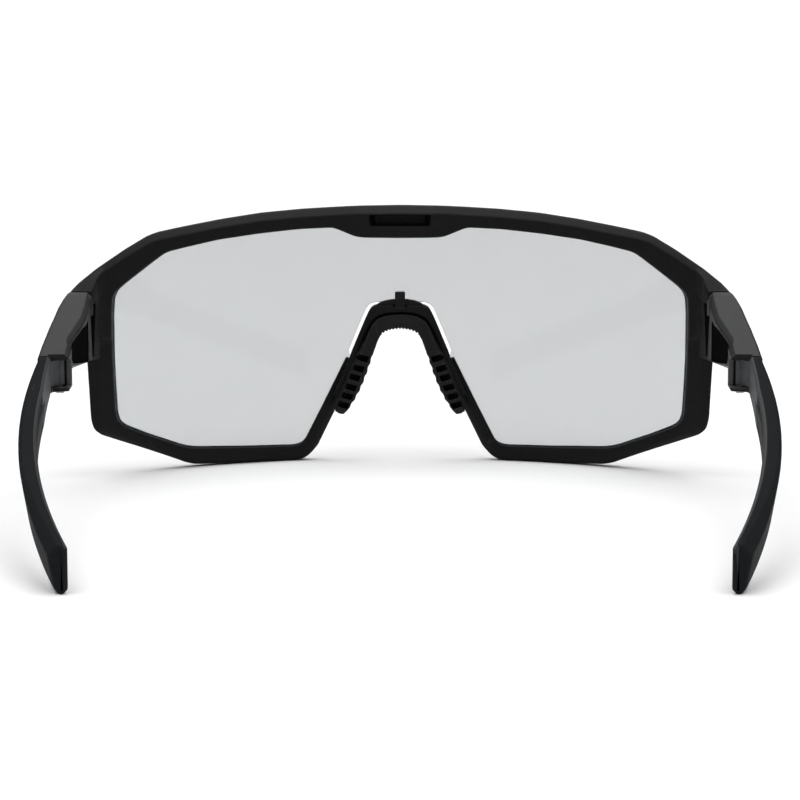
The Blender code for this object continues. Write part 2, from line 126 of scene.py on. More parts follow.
def newLook(name, fixed):
    look = bpy.data.materials.new(name)
    look.use_nodes = True
    shader = look.node_tree.nodes["Principled BSDF"]
    for socket, value in fixed.items():
        shader.inputs[socket].default_value = value
    return look, Wire(look.node_tree), shader


def feed(wire, shader, links):
    for name, source in links.items():
        wire.tree.links.new(source.socket, shader.inputs[name])


def noise(wire, where, scale, detail, twist=0.0):
    return wire.node("TexNoise", {}, {"Vector": where, "Scale": scale, "Detail": detail, "Distortion": twist})


def ramp(wire, source, stops):  # 0 up to the first stop, 1 from the second
    low, high = stops
    return wire.node("ValToRGB", {"stops": [(low, 0.0), (high, 1.0)]}, {"Fac": source})


def relief(wire, height, strength, deep):  # the depth is in millimetres
    return wire.node("Bump", {}, {"Strength": strength, "Distance": deep * mm, "Height": height})


midNoise = 0.5  # noise lies on both sides of this value

# scales are in cycles per metre, shares say how much of the second colour a mark brings
nylon = {"flow": 55.0, "flowTwist": 1.2, "patch": 420.0, "patchShare": 0.35, "pitsToGrain": 1.3,
         "hairStretch": (900.0, 90.0, 1400.0), "hairTurn": (0.2, 0.3, 0.5), "scuffStops": (0.66, 0.74),
         "scuffShare": 0.12, "rubStops": (0.53, 0.62), "reliefDeep": 0.06}
nylonRough = {"flow": 0.10, "patch": 0.08, "grain": 0.12, "rubbed": 0.10, "scuff": 0.06}
nylonHeight = {"grain": 0.6, "pits": 0.5, "scuff": 0.15}


def mouldedLook(name, how):  # moulded nylon: spark grain, faint flow marks, rubbed edges, scuffs
    look, start, shader = newLook(name, {"Specular IOR Level": how["gloss"]})
    where = start.node("TexCoord", out="Object")
    flow = noise(start, where, nylon["flow"], 4.0, nylon["flowTwist"])
    patch = noise(start, where, nylon["patch"], 3.0)
    grain = noise(start, where, how["grain"], 2.0)
    pitScale = how["grain"] * nylon["pitsToGrain"]
    pits = start.node("TexVoronoi", {"feature": "SMOOTH_F1"}, {"Vector": where, "Scale": pitScale})
    stretch = {"Vector": where, "Scale": nylon["hairStretch"], "Rotation": nylon["hairTurn"]}
    hair = noise(start, start.node("Mapping", {}, stretch), 1.0, 2.0)
    scuff = ramp(start, hair, nylon["scuffStops"])
    rubbed = ramp(start, start.node("NewGeometry", out="Pointiness"), nylon["rubStops"])
    shade = tint(start, flow, how["dark"], how["light"])
    shade = tint(start, patch * nylon["patchShare"], shade, how["light"])
    shade = tint(start, rubbed * how["rub"], shade, how["edge"])
    shade = tint(start, scuff * nylon["scuffShare"], shade, how["edge"])
    rough = how["rough"] + (flow - midNoise) * nylonRough["flow"]
    rough = rough + (patch - midNoise) * nylonRough["patch"] + (grain - midNoise) * nylonRough["grain"]
    rough = rough - rubbed * nylonRough["rubbed"] - scuff * nylonRough["scuff"]
    height = grain * nylonHeight["grain"] + pits * nylonHeight["pits"] - scuff * nylonHeight["scuff"]
    bumps = relief(start, height, how["bump"], nylon["reliefDeep"])
    feed(start, shader, {"Base Color": shade, "Roughness": rough, "Normal": bumps})
    return look


rubber = {"cloud": 130.0, "suede": 5200.0, "pores": 2600.0, "rubStops": (0.52, 0.64), "rubShare": 0.35,
          "sheenRough": 0.5, "bump": 0.3, "reliefDeep": 0.04}
rubberRough = {"cloud": 0.14, "suede": 0.1, "rubbed": 0.08}
rubberHeight = {"suede": 0.7, "pores": 0.5}


def rubberLook(name, how):  # soft overmould: fine suede-like grain and a dusty sheen
    look, start, shader = newLook(name, {"Specular IOR Level": how["gloss"], "Sheen Weight": how["sheen"],
                                         "Sheen Roughness": rubber["sheenRough"]})
    where = start.node("TexCoord", out="Object")
    cloud = noise(start, where, rubber["cloud"], 5.0)
    suede = noise(start, where, rubber["suede"], 3.0)
    pores = start.node("TexVoronoi", {}, {"Vector": where, "Scale": rubber["pores"]})
    rubbed = ramp(start, start.node("NewGeometry", out="Pointiness"), rubber["rubStops"])
    shade = tint(start, cloud, how["dark"], how["light"])
    shade = tint(start, rubbed * rubber["rubShare"], shade, how["edge"])
    rough = how["rough"] + (cloud - midNoise) * rubberRough["cloud"]
    rough = rough + (suede - midNoise) * rubberRough["suede"] - rubbed * rubberRough["rubbed"]
    height = suede * rubberHeight["suede"] + pores * rubberHeight["pores"]
    bumps = relief(start, height, rubber["bump"], rubber["reliefDeep"])
    feed(start, shader, {"Base Color": shade, "Roughness": rough, "Normal": bumps})
    return look


sheet = {"ior": 1.5, "coatRough": 0.02, "drift": 18.0, "smear": 70.0, "smearTwist": 2.0,
         "filmStops": (0.52, 0.75), "filmRough": 0.05, "driftRough": 0.01, "driftAlpha": 0.012,
         "filmAlpha": 0.006, "bump": 0.02, "reliefDeep": 0.2}


def lensLook(name, how):  # polished tinted sheet with a few faint smears
    look, start, shader = newLook(name, {"IOR": sheet["ior"], "Coat Roughness": sheet["coatRough"],
                                         "Coat Weight": how["coat"]})
    where = start.node("TexCoord", out="Object")
    drift = noise(start, where, sheet["drift"], 2.0)
    film = ramp(start, noise(start, where, sheet["smear"], 5.0, sheet["smearTwist"]), sheet["filmStops"])
    shade = tint(start, drift, how["dark"], how["light"])
    rough = how["rough"] + film * sheet["filmRough"] + drift * sheet["driftRough"]
    clear = how["alpha"] + (drift - midNoise) * sheet["driftAlpha"] + film * sheet["filmAlpha"]
    ripple = relief(start, drift, sheet["bump"], sheet["reliefDeep"])
    feed(start, shader, {"Base Color": shade, "Roughness": rough, "Alpha": clear, "Normal": ripple})
    return look


def steelLook(name, how):  # turned and brushed screw steel
    look, start, shader = newLook(name, {"Metallic": 1.0})
    where = start.node("TexCoord", out="Object")
    lathe = start.node("Mapping", {}, {"Vector": where, "Scale": how["lathe"]})
    rings = noise(start, lathe, 1.0, 3.0)
    stain = noise(start, where, how["stain"], 4.0)
    shade = tint(start, stain, how["dark"], how["light"])
    rough = how["rough"] + rings * how["ringRough"] + stain * how["stainRough"]
    bumps = relief(start, rings, how["bump"], how["reliefDeep"])
    feed(start, shader, {"Base Color": shade, "Roughness": rough, "Normal": bumps})
    return look


frameFinish = {"dark": grey(0.0035), "light": grey(0.0065), "edge": grey(0.03), "rough": 0.5,
               "gloss": 0.12, "grain": 2600.0, "bump": 0.35, "rub": 0.2}
# painted shade: the frame nylon without gloss and with dark edges, put on the cut faces of the wedge gaps and
# the block's sunken wall panel so they stay black
recessShadeFinish = {**frameFinish, "dark": grey(0.004), "light": grey(0.006), "edge": grey(0.003), "gloss": 0.0}
blockFinish = {"dark": grey(0.0055, -0.05), "light": grey(0.009, -0.05), "edge": grey(0.09), "rough": 0.4,
               "gloss": 0.22, "grain": 4200.0, "bump": 0.2, "rub": 0.6}
# painted light: a copy of the block finish about ten times lighter, for the rear faces left by the mouth cut,
# which face away from the lamps
blockRearLitFinish = {**blockFinish, "dark": grey(0.06, -0.05), "light": grey(0.09, -0.05)}
armFinish = {"dark": grey(0.009, -0.12), "light": grey(0.015, -0.12), "edge": grey(0.06), "rough": 0.55,
             "gloss": 0.012, "grain": 3000.0, "bump": 0.25, "rub": 0.5}
# painted highlight: a lighter, glossier copy of the arm finish for the chamfer along the arm's inner top edge
armEdgeHighlightFinish = {**armFinish, "dark": grey(0.018, -0.08), "light": grey(0.03, -0.08), "gloss": 0.25}
# painted light: a copy of the arm finish about five times lighter, for the arm's inward faces ahead of the
# grip and for the knuckle
armInnerLitFinish = {**armFinish, "dark": grey(0.045, -0.06), "light": grey(0.07, -0.06), "gloss": 0.3}
saddleFinish = {"dark": grey(0.006), "light": grey(0.011), "edge": grey(0.03), "rough": 0.62, "sheen": 0.02,
                "gloss": 0.15}
# painted shade: a much darker copy of the saddle rubber, without sheen, for the insides of the saddle's
# windows
hollowShadeFinish = {**saddleFinish, "dark": grey(0.0015), "light": grey(0.003), "edge": grey(0.004), "sheen": 0.0,
                "gloss": 0.05}
gripFinish = {"dark": grey(0.007), "light": grey(0.012), "edge": grey(0.04), "rough": 0.6, "sheen": 0.02,
              "gloss": 0.2}
lensFinish = {"dark": (0.02, 0.07, 0.11, 1), "light": (0.03, 0.08, 0.12, 1), "rough": 0.03,
              "alpha": 0.275, "coat": 0.1}
lensEdgeFinish = {**lensFinish, "dark": (0.02, 0.024, 0.03, 1), "light": (0.03, 0.036, 0.045, 1),
                  "rough": 0.16, "alpha": 0.85}
screwFinish = {"dark": grey(0.34, 0.02), "light": grey(0.55, 0.01), "lathe": (200.0, 200.0, 9000.0),
               "stain": 600.0, "rough": 0.26, "ringRough": 0.16, "stainRough": 0.08, "bump": 0.3,
               "reliefDeep": 0.02}

frameNylon = mouldedLook("frame_nylon", frameFinish)
blockSatin = mouldedLook("block_satin", blockFinish)
blockRearPaintedLight = mouldedLook("block_rear_painted_light", blockRearLitFinish)
recessPaintedShade = mouldedLook("recess_painted_shade", recessShadeFinish)
armSlate = mouldedLook("arm_slate", armFinish)
armInnerPaintedLight = mouldedLook("arm_inner", armInnerLitFinish)
armEdgePaintedHighlight = mouldedLook("arm_edge", armEdgeHighlightFinish)
saddleRubber = rubberLook("saddle_rubber", saddleFinish)
hollowPaintedShade = rubberLook("saddle_hollow_painted_shade", hollowShadeFinish)
gripRubber = rubberLook("grip_rubber", gripFinish)
lensTint = lensLook("lens_tint", lensFinish)
lensEdge = lensLook("lens_edge", lensEdgeFinish)
screwSteel = steelLook("screw_steel", screwFinish)
print("finishes ready")


def skin(name, rings, look=None):  # rings of equal length become one closed surface
    made = bmesh.new()
    rows = [[made.verts.new(point) for point in ring] for ring in rings]
    for near, far in zip(rows, rows[1:]):
        for i in range(len(near)):
            made.faces.new((near[i - 1], near[i], far[i], far[i - 1]))
    made.faces.new(rows[0])
    made.faces.new(rows[-1])
    bmesh.ops.recalc_face_normals(made, faces=made.faces)
    mesh = bpy.data.meshes.new(name)
    made.to_mesh(mesh)
    made.free()
    piece = bpy.data.objects.new(name, mesh)
    bpy.context.scene.collection.objects.link(piece)
    if look:
        mesh.materials.append(look)
    return piece


cornerShare = 0.45  # the most of a side that one eased corner takes
nearZero = 1e-6


def unit(value):
    return min(max(value, 0.0), 1.0)


def rounded(corners, radii, steps=3):  # a closed outline with its corners eased
    made = []
    for i, corner in enumerate(corners):
        here = Vector(corner)
        if not radii[i]:
            made.append(here)
            continue
        ends = []
        for other in (corners[i - 1], corners[(i + 1) % len(corners)]):
            away = Vector(other) - here
            ends.append(here + away * min(radii[i] / away.length, cornerShare))
        for k in range(steps + 1):
            t = k / steps
            made.append(ends[0] * (1 - t) ** 2 + here * (2 * t * (1 - t)) + ends[1] * t * t)
    return made


def between(a, b, t):
    return tuple(u + (v - u) * t for u, v in zip(a, b))


def easedPath(keys, reach, step):  # softens the turns of a path of rows, then adds even steps
    spans = [max(math.hypot(b[0] - a[0], b[1] - a[1]), nearZero) for a, b in zip(keys, keys[1:])]
    soft = [keys[0]]
    for i in range(1, len(keys) - 1):
        before = between(keys[i], keys[i - 1], min(reach / spans[i - 1], cornerShare))
        after = between(keys[i], keys[i + 1], min(reach / spans[i], cornerShare))
        for t in (0.0, 0.25, 0.5, 0.75, 1.0):
            soft.append(between(between(before, keys[i], t), between(keys[i], after, t), t))
    soft.append(keys[-1])
    made = [soft[0]]
    for a, b in zip(soft, soft[1:]):
        run = max(math.hypot(b[0] - a[0], b[1] - a[1]), math.hypot(b[2] - a[2], b[3] - a[3]))
        parts = max(1, math.ceil(run / step))
        made.extend(between(a, b, k / parts) for k in range(1, parts + 1))
    return made


def wholePath(half):  # a path from the middle outwards, mirrored
    other = [tuple(-v if i in (0, 2) else v for i, v in enumerate(row)) for row in half[:0:-1]]
    return other + list(half)


def block(name, low, high, side=1, look=None):  # a plain brick for cutting
    corners = ((low[0], low[2]), (high[0], low[2]), (high[0], high[2]), (low[0], high[2]))
    return skin(name, [[spot(x, y, z, side) for x, z in corners] for y in (low[1], high[1])], look)


def prism(name, outline, near, far, look=None):  # an outline in x and z, stretched from near to far
    return skin(name, [[spot(x, y, z) for x, z in outline] for y in (near, far)], look)


def circle(count):
    return [2 * math.pi * i / count for i in range(count)]


def post(name, x, y, profile, side=1, look=None, count=28):  # radius and height pairs, spun about an axis
    rings = [
        [spot(x + radius * math.cos(a), y + radius * math.sin(a), z, side) for a in circle(count)]
        for radius, z in profile
    ]
    return skin(name, rings, look)


def join(piece, other, how):
    change = piece.modifiers.new(how.lower(), "BOOLEAN")
    change.operation = how
    change.solver = "EXACT"
    change.object = other
    change.material_mode = "TRANSFER"
    if not other.data.materials:
        other.data.materials.append(piece.data.materials[0])
    change.use_hole_tolerant = False


easing = {"segments": 2, "angle": 38}


def settle(piece, sharp=32.0, bevel=0.0, tiny=0.0):  # makes one mesh of the joins and shades it
    helpers = [change.object for change in piece.modifiers]
    if bevel:
        ease = piece.modifiers.new("ease", "BEVEL")
        ease.width = bevel * mm
        ease.segments = easing["segments"]
        ease.limit_method = "ANGLE"
        ease.angle_limit = math.radians(easing["angle"])
    bpy.context.view_layer.update()
    graph = bpy.context.evaluated_depsgraph_get()
    made = bpy.data.meshes.new_from_object(piece.evaluated_get(graph))
    piece.modifiers.clear()
    piece.data = made
    made.name = piece.name
    for helper in helpers:
        bpy.data.objects.remove(helper, do_unlink=True)
    if tiny:
        clean = bmesh.new()
        clean.from_mesh(made)
        bmesh.ops.dissolve_degenerate(clean, edges=clean.edges, dist=tiny * mm)
        bmesh.ops.triangulate(clean, faces=[face for face in clean.faces if len(face.verts) > 4])
        bmesh.ops.dissolve_degenerate(clean, edges=clean.edges, dist=tiny * mm)
        clean.to_mesh(made)
        clean.free()
    made.shade_smooth()
    made.set_sharp_from_angle(angle=math.radians(sharp))
    even = piece.modifiers.new("even shading", "WEIGHTED_NORMAL")
    even.keep_sharp = True
    return piece


def place(piece, body, node, slot):
    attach(piece, body)
    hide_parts(node)


studio = {"distance": 474.6, "height": 78.97, "pitch": 83.318, "focal": 105.9, "sensor": 36, "nearest": 0.01,
          "sky": 1.1, "overhead": 2.9, "focus": 3.0, "behind": 0.1, "behindFocus": 2.0, "fill": 0.08,
          "floor": 0.9, "floorDrift": 0.02, "floorRough": 0.9, "paper": 300.0, "floorHalf": 6,
          "lamp": 0.6, "lampHigh": 0.9, "lampWide": 1.6, "lampDeep": 1.2}

camera = bpy.data.objects.new("camera", bpy.data.cameras.new("camera"))
camera.location = (0, studio["distance"] * mm, studio["height"] * mm)
camera.rotation_euler = (math.radians(studio["pitch"]), 0, math.pi)
camera.data.lens = studio["focal"]
camera.data.sensor_width = studio["sensor"]
camera.data.clip_start = studio["nearest"]
bpy.context.scene.collection.objects.link(camera)
bpy.context.scene.camera = camera
bpy.context.scene.view_settings.view_transform = "Standard"

floorLook, floorStart, floorShader = newLook("studio_floor", {"Roughness": studio["floorRough"]})
paper = noise(floorStart, floorStart.node("TexCoord", out="Object"), studio["paper"], 3.0)
floorTone = tint(floorStart, paper, grey(studio["floor"]), grey(studio["floor"] + studio["floorDrift"]))
feed(floorStart, floorShader, {"Base Color": floorTone})
floorMesh = bpy.data.meshes.new("floor")
half = studio["floorHalf"]
floorCorners = [(-half, -half, 0), (half, -half, 0), (half, half, 0), (-half, half, 0)]
floorMesh.from_pydata(floorCorners, [], [(0, 1, 2, 3)])
floorMesh.materials.append(floorLook)
floor = bpy.data.objects.new("floor", floorMesh)
bpy.context.scene.collection.objects.link(floor)

world = bpy.data.worlds.new("studio")
bpy.context.scene.world = world
world.use_nodes = True
air = Wire(world.node_tree)
direction = air.node("TexCoord", out="Generated")
ahead = air.node("SeparateXYZ", {}, {"Vector": direction}, "Y")
up = Wire(air.tree, ahead.socket.node.outputs["Z"])
glow = studio["fill"] + air.sum("MAXIMUM", up, 0.0) ** studio["focus"] * studio["overhead"]
glow = glow + air.sum("MAXIMUM", ahead * -1.0, 0.0) ** studio["behindFocus"] * studio["behind"]
seen = air.node("LightPath", out="Is Camera Ray")
strength = seen * studio["sky"] + (1 - seen) * glow
background = world.node_tree.nodes["Background"]
background.inputs["Color"].default_value = (1, 1, 1, 1)
air.tree.links.new(strength.socket, background.inputs["Strength"])

lamp = bpy.data.objects.new("overhead", bpy.data.lights.new("overhead", "AREA"))
lamp.data.shape = "RECTANGLE"
lamp.data.size = studio["lampWide"]
lamp.data.size_y = studio["lampDeep"]
lamp.data.energy = studio["lamp"]
lamp.location = (0, 0, studio["lampHigh"])
bpy.context.scene.collection.objects.link(lamp)
print("studio ready")


rim = {"step": 1.3, "turn": 0.9, "frontSoft": 0.9, "slope": 0.8, "slopeSoft": 0.3, "lipSoft": 0.25,
       "grooveSoft": 0.12, "soft": 0.45, "backSoft": 0.5, "chamferShare": 0.42, "chamferMost": 1.9,
       "backShare": 0.58, "grooveDeep": 1.6, "grooveHalf": 0.76, "lensRadius": 90.0}
# outer x and z, inner x and z, then how far it stands in front of and behind the lens
rimPath = [
    (0.0, 59.5, 0.0, 51.9, 2.2, 4.7),
    (9.0, 59.37, 7.3, 51.98, 2.2, 4.7),
    (10.9, 59.3, 9.1, 52.05, 2.2, 4.2),
    (12.2, 59.25, 10.6, 52.3, 2.2, 4.2),
    (15.6, 59.1, 15.6, 54.4, 2.2, 4.25),
    (23.3, 58.7, 23.5, 54.1, 2.2, 4.3),
    (32.5, 57.9, 32.7, 53.2, 2.2, 4.2),
    (41.5, 56.6, 41.7, 52.0, 2.2, 4.0),
    (50.3, 55.0, 49.3, 50.4, 2.2, 3.8),
    (55.3, 54.0, 52.8, 49.55, 2.2, 3.6),
    (57.3, 53.3, 54.3, 48.7, 2.2, 3.5),
    (62.0, 50.4, 57.3, 46.4, 2.2, 3.2),
    (67.4, 46.6, 62.2, 42.5, 2.2, 2.8),
    (69.4, 44.9, 63.6, 41.2, 2.2, 2.9),
    (70.1, 42.6, 64.3, 39.6, 2.1, 2.9),
    (70.1, 38.0, 64.5, 36.0, 2.0, 2.9),
    (69.8, 31.4, 64.5, 30.9, 2.0, 2.9),
    (69.8, 30.9, 64.5, 30.4, 2.0, 2.3),
    (69.7, 27.0, 64.5, 26.0, 2.0, 2.3),
    (69.4, 20.0, 64.3, 20.0, 2.0, 2.3),
    (69.1, 13.0, 64.0, 13.4, 2.0, 2.4),
    (68.6, 10.6, 63.5, 11.5, 2.0, 2.4),
    (67.2, 9.1, 62.4, 10.4, 2.0, 2.4),
    (62.6, 6.8, 57.8, 7.9, 2.0, 2.4),
    (52.5, 2.0, 50.8, 4.7, 2.0, 2.4),
    (49.4, 0.5, 48.8, 4.1, 2.0, 2.4),
    (47.3, -0.05, 47.2, 3.85, 2.0, 2.4),
    (36.0, -0.6, 36.0, 3.2, 1.9, 2.3),
    (24.8, -0.6, 25.8, 3.0, 1.8, 2.2),
    (23.0, -0.3, 24.4, 3.15, 1.8, 2.2),
    (21.5, 0.6, 23.2, 3.6, 1.8, 2.2),
    (19.5, 2.8, 22.4, 4.5, 1.8, 2.2),
    (15.0, 11.9, 17.9, 13.3, 1.8, 2.2),
    (9.9, 22.2, 12.8, 23.6, 1.8, 2.2),
]
# depth, outer x, inner x, top z, low z
endRows = [
    (30.6, 69.6, 66.4, 45.0, 26.0),
    (34.0, 71.5, 66.9, 44.1, 26.2),
    (36.5, 72.8, 67.4, 42.7, 26.3),
    (38.0, 73.4, 67.8, 41.8, 26.3),
]
# cut corners, from the outer top round by the inner top and the inner low one
endPiece = {"cuts": (1.0, 0.5, 0.6, 0.6), "soft": 0.35, "between": 3}
# the corner between rim and end piece: depth, outer x and z, ridge x and z, inner x and z, low z
shoulderRows = [
    (30.0, 68.9, 45.1, 66.2, 47.5, 64.6, 47.2, 44.0),
    (32.5, 70.4, 44.2, 67.4, 46.6, 65.6, 46.2, 41.8),
    (35.0, 71.8, 42.9, 69.2, 44.9, 66.9, 44.6, 39.2),
    (36.5, 72.5, 42.1, 70.2, 43.4, 67.3, 43.2, 39.2),
    (38.0, 73.3, 41.2, 71.0, 41.8, 67.9, 41.7, 39.2),
]
shoulder = {"radii": [0, 0.5, 0.6, 0.5, 0], "between": 3}
# the wedge-shaped gap behind each end piece: height, its start in the end piece, its end in the block
wedgeRows = [(27.4, 37.7, 38.7), (39.0, 36.2, 41.6)]
wedge = {"open": 60.0, "inFrame": 69.3, "inBlock": 70.0, "seam": 38.15}
recess = {"mouth": [(-7.7, 57.5), (7.7, 57.5), (7.5, 54.55), (-7.5, 54.55)],
          "back": [(-5.9, 57.1), (5.9, 57.1), (5.8, 55.0), (-5.8, 55.0)],
          "mouthAt": 6.0, "backAt": 1.6, "soft": 0.5}


def wedgeCutter(side, outer, share):  # share 0 is the end piece's half, 1 the block's
    rings = []
    for z, start, end in wedgeRows:
        near, far = ((start, wedge["seam"]), (wedge["seam"], end))[share]
        corners = ((wedge["open"], near), (outer, near), (outer, far), (wedge["open"], far))
        rings.append([spot(x, y, z, side) for x, y in corners])
    # the cut faces of the wedge gap take the painted shade finish
    return skin("wedge", rings, recessPaintedShade)


def onShield(x, standOff):  # depth of the surface that lies standOff in front of the lens
    reach = rim["lensRadius"] + standOff
    return rim["lensRadius"] - math.sqrt(reach * reach - x * x)


def rimRing(row):
    outerX, outerZ, innerX, innerZ, front, rear = row
    width = math.hypot(innerX - outerX, innerZ - outerZ)
    chamfer = min(rim["chamferShare"] * width, rim["chamferMost"])
    half, floor, slope = rim["grooveHalf"], width - rim["grooveDeep"], rim["slope"]
    corners = [
        (0, front), (width - slope, front), (width, front - slope), (width, half), (floor, half),
        (floor, -half), (width, -half), (width, -rear), (chamfer, -rear), (0, -rear * rim["backShare"]),
    ]
    radii = [rim["frontSoft"], rim["slopeSoft"], rim["lipSoft"], rim["grooveSoft"], 0, 0, rim["grooveSoft"],
             rim["backSoft"], rim["soft"], rim["soft"]]
    ring = []
    for inwards, standOff in rounded(corners, radii):
        x = outerX + (innerX - outerX) * inwards / width
        z = outerZ + (innerZ - outerZ) * inwards / width
        ring.append(spot(x, onShield(x, standOff), z))
    return ring


def endRing(row, side):
    y, outer, inner, top, low = row
    most = cornerShare * min(outer - inner, top - low)
    a, b, c, d = (min(cut, most) for cut in endPiece["cuts"])
    corners = [
        (outer, top - a), (outer - a, top), (inner + b, top), (inner, top - b),
        (inner, low + c), (inner + c, low), (outer - d, low), (outer, low + d),
    ]
    return [spot(x, y, z, side) for x, z in rounded(corners, [endPiece["soft"]] * 8, 2)]


def shoulderRing(row, side):
    y, outer, outerTop, ridge, ridgeTop, inner, innerTop, low = row
    corners = [(outer, low), (outer, outerTop), (ridge, ridgeTop), (inner, innerTop), (inner, low)]
    return [spot(x, y, z, side) for x, z in rounded(corners, shoulder["radii"])]


def smoothRows(rows, count):  # adds rows between the given ones on a smooth curve
    made = []
    last = len(rows) - 1
    for i in range(last):
        near = rows[max(i - 1, 0)], rows[i], rows[i + 1], rows[min(i + 2, last)]
        for k in range(count):
            t = k / count
            made.append(tuple(
                0.5 * (2 * q + (r - p) * t + (2 * p - 5 * q + 4 * r - s) * t * t
                       + (3 * q - p - 3 * r + s) * t ** 3)
                for p, q, r, s in zip(*near)
            ))
    return made + [rows[-1]]


def makeFront():
    rows = easedPath(wholePath(rimPath), rim["turn"], rim["step"])
    front = skin("front_shell", [rimRing(row) for row in rows], frameNylon)
    for side in sides.values():
        rings = [endRing(row, side) for row in smoothRows(endRows, endPiece["between"])]
        join(front, skin("end", rings), "UNION")
        rings = [shoulderRing(row, side) for row in smoothRows(shoulderRows, shoulder["between"])]
        join(front, skin("shoulder", rings), "UNION")
        join(front, wedgeCutter(side, wedge["inFrame"], 0), "DIFFERENCE")
    depths = ((recess["mouthAt"], recess["mouth"]), (recess["backAt"], recess["back"]))
    cut = [[spot(x, y, z) for x, z in rounded(ring, [recess["soft"]] * 4)] for y, ring in depths]
    join(front, skin("recess", cut), "DIFFERENCE")
    place(settle(front), "front", "front_frame", "frame_nylon")


makeFront()
print("front frame ready")


lens = {"thick": 1.4, "intoGroove": 1.4, "columns": 170, "reach": 50.0, "low": -2.0, "high": 62.0,
        "edge": 0.2, "sharp": 25, "cutFrom": -20, "cutTo": 60, "faceOn": 0.9}
notch = [(12.15, 25.2), (10.5, 29.3), (8.75, 33.4), (7.9, 35.3), (7.1, 36.2), (5.9, 36.65), (4.4, 36.7),
         (0.0, 36.7)]


def makeLens():
    half = []
    for outerX, outerZ, innerX, innerZ, *_ in rimPath:
        away = Vector((outerX - innerX, outerZ - innerZ)).normalized() * lens["intoGroove"]
        half.append((max(innerX + away.x, 0.0) if innerX else 0.0, innerZ + away.y))
    half.extend(notch)
    outline = half + [(-x, z) for x, z in reversed(half) if x > 0]
    rings = []
    for i in range(lens["columns"] + 1):
        angle = math.radians(lens["reach"] * (2 * i / lens["columns"] - 1))
        ring = []
        for stand, z in ((1, lens["low"]), (1, lens["high"]), (-1, lens["high"]), (-1, lens["low"])):
            radius = rim["lensRadius"] + stand * lens["thick"] / 2
            ring.append(spot(radius * math.sin(angle), rim["lensRadius"] - radius * math.cos(angle), z))
        rings.append(ring)
    shield = skin("lens_shield", rings, lensTint)
    shield.data.materials.append(lensEdge)
    join(shield, prism("outline", outline, lens["cutFrom"], lens["cutTo"], lensEdge), "INTERSECT")
    settle(shield, lens["sharp"], lens["edge"])
    axisY = spot(0, rim["lensRadius"], 0).y
    for face in shield.data.polygons:
        outwards = Vector((face.center.x, face.center.y - axisY, 0)).normalized()
        face.material_index = 0 if abs(face.normal.normalized().dot(outwards)) > lens["faceOn"] else 1
    place(shield, "front", "shield_lens", "lens")


makeLens()
print("lens ready")


clip = {"step": 0.6, "turn": 0.7, "corner": 0.4, "sharp": 30, "behindLens": 0.45, "flangeThick": 2.6,
        "flangeSoft": 0.3, "tabHalf": 1.2, "tabLow": 35.4, "tabTop": 39.2, "tabSoft": 0.4, "tabFrom": 0.2,
        "tabTo": 3.4, "dotX": 1.41, "dotZ": 36.0, "dotRadius": 0.28, "dotFrom": 1.6, "dotTo": 4.4,
        "dotCorners": 14}
flangeHalf = [(5.9, 35.2), (6.0, 35.85), (4.7, 36.7), (3.4, 37.15), (1.8, 37.42)]
# outer x and z, inner x and z, front and rear depth
clipPath = [
    (0.0, 36.1, 0.0, 34.3, -1.2, 4.2),
    (3.0, 36.1, 3.0, 34.1, -1.2, 4.2),
    (5.6, 36.1, 5.0, 33.4, -1.2, 4.2),
    (6.7, 35.6, 6.4, 32.5, -1.1, 4.3),
    (7.4, 34.5, 7.3, 31.0, -1.0, 4.4),
    (8.2, 32.8, 7.9, 29.6, -0.9, 4.5),
    (9.85, 28.9, 8.7, 27.9, -0.8, 4.8),
    (11.5, 25.0, 10.1, 24.3, 0.0, 5.4),
    (12.1, 23.3, 10.8, 22.7, 3.8, 5.7),
    (13.9, 19.2, 12.6, 18.6, 4.0, 6.2),
    (15.7, 15.2, 14.3, 14.6, 4.2, 6.6),
]
saddle = {"step": 0.16, "turn": 1.0, "corner": 0.45, "slant": 1.0, "sharp": 34, "tinyEdge": 0.006,
          "teethReach": 5.2, "teethFade": 0.8, "teeth": 0.78, "toothDeep": 0.34, "legsFrom": 8.6,
          "legsOver": 1.5, "endClear": 1.5, "endOver": 1.0, "ribFrom": 9.3, "ribs": 2.3, "ribDeep": 0.1,
          "ribBack": 0.15, "lip": 0.62, "lipFrom": 2.4, "lipTo": 2.2, "lipSoft": 0.1}
window = {"deep": 2.2, "out": 2.5, "alongHalf": 0.75, "acrossHalf": 1.65, "soft": 0.28, "floorShare": 0.9,
          "across": (-0.949, -0.315), "along": (0.40, -0.917)}
# outer x and z, inner x and z, front and rear depth
saddlePath = [
    (0.0, 34.0, 0.0, 30.5, -0.4, 5.2),
    (2.9, 33.8, 2.7, 30.1, -0.4, 5.3),
    (4.8, 33.2, 4.2, 29.4, -0.3, 5.6),
    (6.1, 32.2, 5.0, 28.3, -0.2, 6.0),
    (7.0, 30.7, 5.5, 27.0, 0.0, 6.5),
    (8.3, 27.6, 6.2, 25.0, 1.2, 7.4),
    (9.8, 24.1, 7.0, 22.6, 3.3, 8.4),
    (11.1, 21.3, 7.9, 20.0, 3.7, 9.2),
    (12.3, 18.4, 9.1, 17.0, 4.1, 9.8),
    (13.6, 15.4, 10.6, 14.2, 4.4, 10.0),
    (14.7, 13.0, 12.1, 11.9, 4.8, 9.8),
    (14.6, 11.2, 13.2, 10.8, 5.2, 9.2),
]
# middle x, z and depth of each window in a saddle leg
windows = [(8.9, 24.02, 7.6), (9.94, 21.73, 8.3), (10.88, 19.66, 8.9), (11.69, 17.37, 9.5),
           (12.62, 15.3, 9.7), (13.5, 13.2, 9.6)]


bandCorner = {"share": 0.3, "reach": 1.6}


